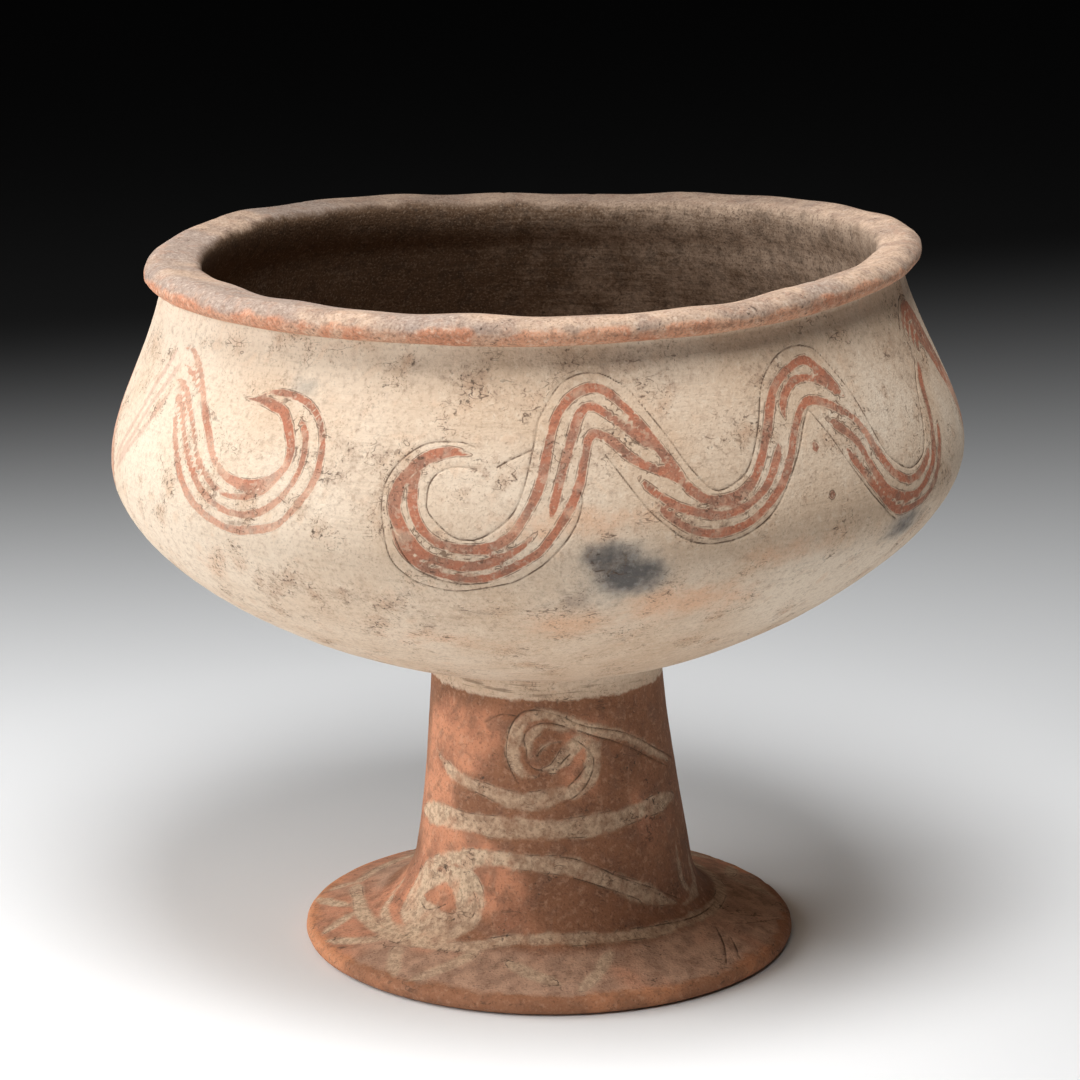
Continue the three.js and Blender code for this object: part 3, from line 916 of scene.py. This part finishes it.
def surface_mesh(profile, marks):
    """The whole clay surface, with its marks as attributes."""
    cells, rows = surface_cells(profile, marks)
    grid, faces = closed_faces(cells, rows)
    turn = grid[:, 0] * 2 * math.pi / TURN_COLUMNS
    length = grid[:, 1] * profile.total / rows
    radius, height = profile.at(length)
    places = uneven(turn, radius, height)
    fields = marks.fields(turn, length, radius)
    ends = profile.ends
    outer = smoothstep(length, ends["ring"], ends["edge"])
    lip_top = 1 - smoothstep(length, ends["mouth"] - 18, ends["mouth"])
    lip = smoothstep(length, ends["shoulder"] - 1, ends["shoulder"] + 2) * lip_top
    stem = smoothstep(length, ends["foot"] - 60, ends["foot"] - 44)
    foot_edge = outer * (1 - smoothstep(length, ends["edge"], ends["edge"] + 6))
    carve = outer * (SKIN_LOSS + HAND_DENT * (1 + ripple(places, HAND_DENT_SIZE, 1)) / 2)
    carve += outer * (1 - lip) * SCRAPE_DEPTH * (1 + ripple(places * (0.25, 0.25, 1), SCRAPE_SIZE, 2))
    carve += lip * LIP_DENT * (1 + ripple(places, LIP_DENT_SIZE, 3))
    bite = smoothstep(ripple(places, CHIP_SIZE, 5), 0.62, 0.85)
    carve += (0.25 * lip + 0.5 * foot_edge) * CHIP_DEPTH * bite * (0.6 + 0.4 * ripple(places, 2.4, 6))
    carve += foot_edge * EDGE_WEAR * (1 + ripple(places, EDGE_WEAR_SIZE, 7))
    groove = 1 - smoothstep(fields["groove"], 0, GROOVE_HALF_WIDTH)
    edge_of_band = 1 - smoothstep(np.abs(fields["band"] + 0.15), 0, BAND_EDGE_HALF_WIDTH)
    carve += GROOVE_DEPTH * groove + BAND_EDGE_DEPTH * edge_of_band * stem
    places = places - outward(profile, turn, length) * carve[:, None]

    mesh = bpy.data.meshes.new("bowl_surface")
    mesh.from_pydata((places * MILLIMETRE).tolist(), [], faces)
    mesh.update()
    mesh.polygons.foreach_set("use_smooth", np.ones(len(mesh.polygons), bool))
    degrees = turn_gap(np.degrees(turn), 0)
    on_outside = (length < ends["shoulder"]) & (length > ends["stem"])
    cloudy = mottle(places, 18, 20)
    patchy = mottle(places, 8, 30)
    # Share of the left side, where the key lamp falls; colours keyed to it are painted light and shade
    lit_from_left = 1 - smoothstep(places[:, 0], -130, 20)
    # Share of the right, where the key lamp lights the inside wall
    lit_right = smoothstep(places[:, 0], -60, 90)
    high = smoothstep(height, neck_height - 60, neck_height)
    patches = on_outside * blots(PALE_AND_LIT_PATCHES, degrees, height)
    # Painted light: lighter towards the lit left, plus broad random tone and the cream patches
    pale_and_painted_light = 0.25 + 0.6 * lit_from_left + 0.22 * mottle(places, 50, 10) + patches
    fields |= {
        "slip": np.clip(length - profile.length_at_height(SLIP_EDGE_HEIGHT), -40, 60),
        "lip": np.clip(length - ends["shoulder"], -20, 80),
        "foot": np.clip(ends["foot"] - 22 - length, -30, 30),
        "edge": np.clip(length - ends["edge"], -20, 40),
        "under": np.clip(ends["ring"] + 2 - length, -30, 30),
        "pale_and_painted_light": np.clip(pale_and_painted_light, 0, 1),
        "fire": on_outside * blots(FIRE_CLOUDS, degrees, height) + 0.07 * patchy,
        "blush": on_outside * blots(BLUSHES, degrees, height) + 0.15 * cloudy,
        "grime": on_outside * blots(GRIME, degrees, height) + 0.2 * cloudy + 0.16 * patchy,
        "cloudy": cloudy,
        "patchy": patchy,
        "dapple": mottle(places, 7, 40),
        # Inside lighter to the right and up high, where the key lamp lights the wall: painted light, with
        # chalky streaks over it
        "chalk_and_painted_light": lit_right * (0.75 + 0.2 * high) + 0.14 * mottle(places, 14, 50),
        # Painted shade: share of the way towards the back, away from the lamps in front
        "painted_shade_back": smoothstep(places[:, 1], 20, 110),
    }
    for name, values in fields.items():
        attribute = mesh.attributes.new(name, "FLOAT", "POINT")
        attribute.data.foreach_set("value", values.astype(np.float32))
    return mesh


def colour(red, green, blue):
    """A colour of the screen, from 0 to 255, as the shader's linear values."""
    channels = [value / 255 for value in (red, green, blue)]
    return (*[c / 12.92 if c <= 0.04045 else ((c + 0.055) / 1.055) ** 2.4 for c in channels], 1)


class Nodes:
    """Adds shader nodes in one call each; a call gives back an output socket.

    A value is a socket, a number, or the name of a pattern or of a mesh attribute.
    A tone is a socket or a colour of the screen.
    """

    def __init__(self, name):
        self.material = bpy.data.materials.new(name)
        self.material.use_nodes = True
        self.tree = self.material.node_tree
        self.tree.nodes.clear()
        self.place = self.node("ShaderNodeTexCoord").outputs["Object"]
        self.patterns = {}

    def node(self, kind, inputs=None, **settings):
        """The node itself, with some of its settings and inputs filled in."""
        node = self.tree.nodes.new(kind)
        for name, value in settings.items():
            setattr(node, name, value)
        for key, value in (inputs or {}).items():
            self.put(node.inputs[key], value)
        return node

    def put(self, socket, value):
        if isinstance(value, str):
            value = self.named(value)
        if isinstance(value, bpy.types.NodeSocket):
            self.tree.links.new(value, socket)
        else:
            socket.default_value = value

    def named(self, name):
        """The pattern of that name, or else the mesh attribute."""
        if name not in self.patterns:
            node = self.node("ShaderNodeAttribute", attribute_name=name)
            self.patterns[name] = node.outputs["Fac"]
        return self.patterns[name]

    def math(self, operation, first, *others):
        """One operation on the first value and each other value in turn."""
        for other in others:
            first = self.node("ShaderNodeMath", {0: first, 1: other}, operation=operation).outputs[0]
        return first

    def times(self, *values):
        return self.math("MULTIPLY", *values)

    def add(self, *values):
        """The sum; a pair in it is a value and its weight."""
        parts = [self.times(*value) if isinstance(value, tuple) else value for value in values]
        return self.math("ADD", *parts)

    def fade(self, value, low, high, first=0.0, last=1.0):
        """Smooth change from first to last as value goes from low to high."""
        names = ("Value", "From Min", "From Max", "To Min", "To Max")
        inputs = dict(zip(names, (value, low, high, first, last)))
        return self.node("ShaderNodeMapRange", inputs, interpolation_type="SMOOTHSTEP").outputs["Result"]

    def noise(self, seed, size, detail, roughness, stretch=(1, 1, 1)):
        """Noise around 0.5 of one size in millimetres, stretched by axis and moved by its seed."""
        scale = [1 / (size * MILLIMETRE * share) for share in stretch]
        start = [seed * step for step in NOISE_STEPS]
        mapping = self.node("ShaderNodeMapping", {"Vector": self.place, "Scale": scale, "Location": start})
        inputs = {"Vector": mapping.outputs["Vector"], "Scale": 1.0, "Detail": detail, "Roughness": roughness}
        return self.node("ShaderNodeTexNoise", inputs).outputs[0]

    def line_at(self, value, level, half_width):
        """1 where value is at the level, falling to 0 beyond the half width."""
        away = self.math("SUBTRACT", value, level)
        away = self.node("ShaderNodeMath", {0: away}, operation="ABSOLUTE").outputs[0]
        return self.fade(away, half_width, half_width * LINE_SOFTNESS, 1, 0)

    def mix(self, share, first, second):
        """The share of the second tone over the first."""
        inputs = {0: share}
        for key, tone in ((6, first), (7, second)):
            inputs[key] = colour(*tone) if isinstance(tone, tuple) else tone
        return self.node("ShaderNodeMix", inputs, data_type="RGBA").outputs[2]

    def layers(self, base, *rows):
        """Tones laid over the base in turn, as rows of (tone, share) or (tone, value, its fade)."""
        for tone, share, *limits in rows:
            if limits:
                share = self.fade(share, *limits)
            base = self.mix(share, base, tone)
        return base

    def surface(self, tone, roughness, specular, **more):
        inputs = {"Base Color": tone, "Roughness": roughness, "Specular IOR Level": specular} | more
        shader = self.node("ShaderNodeBsdfPrincipled", inputs)
        self.node("ShaderNodeOutputMaterial", {"Surface": shader.outputs[0]})
        return self.material


# Fine patterns that all of the clay shares, as (name, seed, size in millimetres, detail, roughness),
# and for two of them the stretch by axis
GRAIN = (
    ("ragged", 11, 5, 4, 0.62),
    ("fine", 12, 2.2, 3, 0.6),
    ("small", 13, 0.85, 2, 0.6),
    ("specks", 14, 1.3, 1, 0.5),
    ("scrape", 15, 1.8, 2, 0.6, (9, 9, 0.6)),
    ("wrinkle", 17, 4.6, 1, 0.5),
    ("crack", 19, 15, 3, 0.6, (1.5, 1.5, 0.6)),
)
NOISE_STEPS = (7.31, 3.17, 5.71)
LINE_SOFTNESS = 2.2
CLAY_ROUGHNESS = 0.78
CLAY_SPECULAR = 0.22
GRAIN_RELIEF = 0.2


def add_grain(nodes):
    """Fills in the patterns; wear and nick lie around 0."""
    found = nodes.patterns
    for name, *settings in GRAIN:
        found[name] = nodes.noise(*settings)
    found["wear"] = nodes.times(nodes.math("SUBTRACT", "ragged", 0.5), 1.7)
    found["nick"] = nodes.times(nodes.math("SUBTRACT", "fine", 0.5), 1.6)
    found["wrinkle"] = nodes.times(nodes.line_at("wrinkle", 0.5, 0.01), nodes.fade("fine", 0.46, 0.56))
    found["crack"] = nodes.times(nodes.line_at("crack", 0.5, 0.0038), nodes.fade("ragged", 0.47, 0.55))


def slip_colour(nodes):
    """Cream slip: mottled, grimed, grained and blushed by the fire; lighter towards the lit left side as
    painted light.
    """
    grime = nodes.add("grime", "wear", "nick")
    dull = nodes.fade(nodes.add(grime, "cloudy"), -0.5, 2, 0.3, 0.75)
    halo = nodes.add("fire", ("wear", 0.3), ("nick", 0.35))
    return nodes.layers(
        nodes.mix("pale_and_painted_light", (211, 184, 157), (228, 209, 187)),
        ((186, 155, 126), "cloudy", 0.4, 2.4, 0, 0.4),
        ((224, 188, 156), "patchy", 0.5, 2, 0, 0.35),
        ((178, 148, 124), "fine", 0.5, 0.7, 0, 0.36),
        ((238, 222, 200), "fine", 0.28, 0.46, 0.3, 0),
        ((150, 124, 105), grime, 0.2, 1.6, 0, 0.42),
        ((224, 172, 134), nodes.add("blush", ("wear", 0.6)), 0.05, 1.1, 0, 0.68),
        ((134, 108, 90), nodes.times(nodes.fade("small", 0.54, 0.72), dull)),
        ((244, 232, 212), "small", 0.3, 0.45, 0.12, 0),
        ((152, 144, 134), halo, 0.02, 0.75, 0, 0.6),
        ((80, 79, 80), halo, 0.4, 1.15, 0, 0.85),
        ((150, 148, 144), nodes.times(nodes.fade(halo, 0.3, 0.6), nodes.fade("fine", 0.3, 0.48, 0.45, 0))),
    )


def painted(nodes, body):
    """Red stripes over the slip, worn and thinned, with fine dark scoring along their edges; lighter and more
    orange towards the lit left, as painted light.
    """
    # The lit left side, where the key lamp falls: there the stripes are painted more orange and thinner, and
    # the scoring fainter
    lit_left_side = nodes.fade("pale_and_painted_light", 0.5, 0.9)
    tone = nodes.layers(
        nodes.mix(nodes.fade("cloudy", -0.6, 1.1), (178, 106, 78), (162, 110, 88)),
        ((202, 116, 76), nodes.times(lit_left_side, 0.6)),
        ((126, 88, 72), "dapple", 0.2, 1.8, 0, 0.7),
        ((204, 146, 114), "fine", 0.32, 0.46, 0.5, 0),
        ((104, 70, 56), "small", 0.53, 0.68, 0, 0.5),
    )
    edge = nodes.add("red", ("wear", 0.7), ("nick", 0.4))
    worn = nodes.fade("patchy", 0.2, 2, 0.95, 0.5)
    thin = nodes.math("MINIMUM", nodes.fade("fine", 0.54, 0.68, 0.92, 0.45), worn)
    thin = nodes.times(thin, nodes.fade(lit_left_side, 0, 1, 1, 0.66))
    scored = nodes.line_at(nodes.add("red", ("nick", 0.2)), -0.3, 0.1)
    scored = nodes.times(scored, nodes.fade("dapple", -1.3, 0.2), nodes.fade("ragged", 0.36, 0.52))
    return nodes.layers(
        body,
        (tone, nodes.times(nodes.fade(edge, -0.2, 0.3), thin)),
        ((190, 142, 124), nodes.add("faint", "wear"), -0.6, 0.5, 0, 0.42),
        ((104, 76, 58), nodes.times(scored, nodes.fade(lit_left_side, 0, 1, 0.75, 0.15))),
    )


def foot_colour(nodes):
    """Red ground of the stem and foot under worn buff bands, with painted shade towards the right."""
    # The lit left side; towards the right, painted shade darkens the ground and the edge ring, greys the
    # foot's top and dims the bands
    lit_from_left = nodes.fade("pale_and_painted_light", 0.25, 0.7)
    on_foot = nodes.fade(nodes.add("foot", "wear"), -3, 3)
    dappled = nodes.fade("dapple", -1, 1.2)
    grey = nodes.mix(dappled, (206, 168, 142), (176, 142, 120))
    brown = nodes.mix(dappled, (204, 146, 116), (176, 128, 102))
    inward = nodes.add("edge", ("wear", 3), ("cloudy", 0.9))
    ring = nodes.mix(lit_from_left, (160, 106, 74), (212, 144, 102))
    buff = nodes.mix(nodes.fade("fine", 0.4, 0.64), (220, 194, 164), (180, 154, 128))
    worn = nodes.times(nodes.fade(on_foot, 0, 1, 2.6, 1.2), "wear")
    laid = nodes.add("band", worn, ("nick", 0.7))
    laid = nodes.fade(nodes.add(laid, (on_foot, 0.45)), -0.9, 1)
    laid = nodes.times(laid, nodes.fade("dapple", -0.6, 2, 0.94, 0.55), nodes.fade(lit_from_left, 0, 1, 0.66, 1))
    scored = nodes.line_at(nodes.add("band", ("nick", 0.4)), -0.1, 0.12)
    scored = nodes.times(scored, nodes.fade("cloudy", -0.4, 1.2), nodes.fade("ragged", 0.42, 0.56))
    return nodes.layers(
        nodes.mix(nodes.fade("cloudy", -1, 1.4), (208, 144, 110), (176, 120, 92)),
        ((124, 86, 61), lit_from_left, 0, 1, 0.75, 0),
        ((136, 100, 80), "patchy", 0.1, 1.8, 0, 0.55),
        (nodes.mix(lit_from_left, grey, brown), nodes.times(on_foot, 0.8)),
        (ring, inward, -0.8, 2.6, 0.85, 0),
        ((212, 168, 138), "fine", 0.32, 0.48, 0.3, 0),
        ((128, 92, 72), "ragged", 0.5, 0.68, 0, 0.45),
        (buff, laid),
        ((80, 58, 46), nodes.times(scored, 0.7)),
        ((96, 69, 55), "small", 0.53, 0.72, 0, 0.48),
        ((226, 190, 162), "small", 0.28, 0.45, 0.1, 0),
    )


def lip_colour(nodes, body):
    """Worn red on the lip's outer side, a plain light-toned top and a dark inside with chalky patches, plus
    painted light and shade.
    """
    lit_left_side = nodes.fade("pale_and_painted_light", 0.5, 0.9)
    hue = nodes.fade(nodes.add("dapple", "cloudy"), -1, 1.8)
    side = nodes.layers(
        nodes.mix(nodes.times(hue, nodes.fade(lit_left_side, 0, 1, 1, 0.5)), (204, 136, 102), (208, 166, 138)),
        # Painted light: the red side lighter towards the right, on the side turned from the key lamp
        ((230, 176, 142), "pale_and_painted_light", 0.2, 0.5, 0.55, 0),
        ((156, 112, 88), "fine", 0.5, 0.66, 0, 0.6),
        ((230, 196, 170), "fine", 0.3, 0.45, 0.7, 0),
    )
    dull = nodes.fade(nodes.add("cloudy", ("wear", 3)), -1.2, 1.4)
    top = nodes.layers(
        nodes.mix(dull, (202, 172, 148), (172, 146, 128)),
        # Painted shade: the top greyer on the lit left side
        ((160, 142, 132), nodes.times(lit_left_side, 0.8)),
        ((148, 126, 112), "patchy", 0.3, 1.8, 0, 0.4),
        ((190, 146, 120), "ragged", 0.5, 0.66, 0, 0.4),
        ((140, 118, 102), "fine", 0.5, 0.68, 0, 0.45),
        ((220, 198, 178), "fine", 0.3, 0.46, 0.4, 0),
    )
    over = nodes.add("lip", ("wear", 2.5), ("cloudy", 0.7))
    rim = nodes.layers(
        nodes.mix(nodes.fade(over, 8.5, 11), side, top),
        ((112, 90, 76), "small", 0.52, 0.68, 0, 0.5),
        ((228, 208, 190), "small", 0.3, 0.46, 0.3, 0),
        # Painted shade: the rim darker towards the back
        ((62, 50, 43), nodes.times("painted_shade_back", 0.6)),
    )
    # Chalky streaks, over painted light that lightens the lit right of the inside
    streaks = nodes.add(("nick", 0.7), nodes.math("SUBTRACT", "scrape", 0.5))
    chalk_and_painted_light = nodes.add("chalk_and_painted_light", ("wear", 0.5), streaks)
    soot = nodes.layers(
        nodes.mix(nodes.fade(chalk_and_painted_light, 0, 1.5), (98, 75, 56), (180, 156, 135)),
        ((62, 47, 36), "ragged", 0.48, 0.64, 0, 0.45),
        ((60, 46, 35), "small", 0.5, 0.7, 0, 0.55),
        ((172, 152, 132), "small", 0.3, 0.46, 0.38, 0),
    )
    return nodes.layers(
        body,
        (rim, nodes.add("lip", ("wear", 1.5)), 0.2, 1.6, 0, 0.95),
        (soot, nodes.add("lip", ("wear", 3), ("cloudy", 0.5)), 26, 31),
    )


def clay_material():
    nodes = Nodes("painted_clay")
    add_grain(nodes)
    body = painted(nodes, slip_colour(nodes))
    on_bowl = nodes.fade(nodes.add("slip", ("wear", 2.6), "nick"), -0.6, 0.7)
    body = nodes.mix(on_bowl, foot_colour(nodes), body)

    # Scrapes of the tool that smoothed the bowl, closest above the joint
    scrape = nodes.times(nodes.fade("scrape", 0.54, 0.68), nodes.fade("slip", 0, 50, 0.62, 0.1), on_bowl)
    body = lip_colour(nodes, nodes.mix(scrape, body, (120, 94, 74)))

    # The plain underside, then cracks, wrinkles and pits in clusters, and the dirt in the incised lines
    outside = nodes.fade("lip", -2, 0, 1, 0)
    cluster = nodes.add(("dapple", 0.5), "cloudy", "grime")
    specks = nodes.fade("specks", 0.62, 0.74)
    incised = nodes.fade(nodes.add("groove", ("nick", 0.12)), 0.14, 0.4, 1, 0)
    dirt = nodes.fade(nodes.add("ragged", ("dapple", 0.06)), 0.38, 0.58, 0.25, 0.85)
    body = nodes.layers(
        body,
        ((158, 116, 90), "under", -2, 2),
        ((116, 94, 74), nodes.times("wrinkle", nodes.fade(cluster, 0.2, 2.2, 0, 0.5), outside)),
        ((88, 68, 54), nodes.times("crack", nodes.fade(cluster, -0.4, 1.5, 0.05, 0.7), outside)),
        ((74, 60, 50), nodes.times(specks, nodes.fade(nodes.add(cluster, "wear"), 0.3, 2.2), 0.75)),
        ((88, 66, 50), nodes.times(incised, dirt)),
    )
    height = nodes.add("small", ("fine", 0.8), (specks, -0.3))
    relief = {"Height": height, "Distance": GRAIN_RELIEF * MILLIMETRE, "Strength": 1.0}
    normal = nodes.node("ShaderNodeBump", relief).outputs["Normal"]
    return nodes.surface(body, CLAY_ROUGHNESS, CLAY_SPECULAR, Normal=normal)


# Stage, in metres and degrees
FLOOR_HALF = 6
FLOOR_ROUGHNESS = 0.9
FLOOR_SPECULAR = 0.1
PALE_UNTIL = -0.1
DARK_FROM = 1.36
PALER_TO_RIGHT = 0.48
CAMERA_BACK = 1.1897
CAMERA_HEIGHT = 0.4439
CAMERA_DOWN = 14.2476
SENSOR_WIDTH = 36
LENS_LENGTH = 118.35
WORLD_STRENGTH = 0.015

# Soft lamps that shine at one point: (name, place, width and height, power in watts)
LIT_POINT = (0, 0, 0.15)
LAMPS = (
    ("key", (-0.92, -0.5, 0.5), (0.7, 0.6), 5),
    ("side", (-1, -0.1, 0.5), (0.6, 0.5), 1.5),
    ("left", (-0.95, 0.3, 0.6), (0.6, 0.6), 6),
    ("top", (0.05, -0.34, 1.12), (0.5, 0.45), 11),
)


def placed(name, data):
    """A new object in the scene."""
    thing = bpy.data.objects.new(name, data)
    bpy.context.scene.collection.objects.link(thing)
    return thing


def make_floor():
    mesh = bpy.data.meshes.new("floor")
    corners = [(-1, -1, 0), (1, -1, 0), (1, 1, 0), (-1, 1, 0)]
    mesh.from_pydata([(x * FLOOR_HALF, y * FLOOR_HALF, z) for x, y, z in corners], [], [(0, 1, 2, 3)])
    floor = placed("floor", mesh)
    nodes = Nodes("floor_painted_falloff")
    # Painted light: the floor's colour darkens towards the back and lightens to the right, standing in for
    # how the light falls off
    split = nodes.node("ShaderNodeSeparateXYZ", {0: nodes.place}).outputs
    back = nodes.math("SUBTRACT", split["Y"], nodes.times(split["X"], PALER_TO_RIGHT))
    tone = nodes.mix(nodes.fade(back, PALE_UNTIL, DARK_FROM), (242, 243, 244), (38, 38, 38))
    mesh.materials.append(nodes.surface(tone, FLOOR_ROUGHNESS, FLOOR_SPECULAR))


def make_camera():
    camera = bpy.data.cameras.new("camera")
    camera.sensor_width = SENSOR_WIDTH
    camera.lens = LENS_LENGTH
    holder = placed("camera", camera)
    holder.location = (0, -CAMERA_BACK, CAMERA_HEIGHT)
    holder.rotation_euler = (math.radians(90 - CAMERA_DOWN), 0, 0)
    bpy.context.scene.camera = holder


def make_light():
    world = bpy.data.worlds.new("world")
    world.use_nodes = True
    background = world.node_tree.nodes["Background"].inputs
    background["Color"].default_value = (1, 1, 1, 1)
    background["Strength"].default_value = WORLD_STRENGTH
    bpy.context.scene.world = world
    for name, place, size, power in LAMPS:
        lamp = bpy.data.lights.new(name, "AREA")
        lamp.shape = "RECTANGLE"
        lamp.size, lamp.size_y = size
        lamp.energy = power
        holder = placed(name, lamp)
        holder.location = place
        away = np.array(LIT_POINT) - np.array(holder.location)
        tip = math.acos(-away[2] / np.linalg.norm(away))
        holder.rotation_euler = (tip, 0, math.atan2(away[1], away[0]) - math.pi / 2)
    bpy.context.scene.view_settings.view_transform = "Standard"


make_camera()
profile = Profile()
marks = Marks(profile)
bowl = placed("bowl_surface", surface_mesh(profile, marks))
bowl.data.materials.append(clay_material())
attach(bowl, "root")
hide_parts("pedestal_bowl")
make_floor()
make_light()
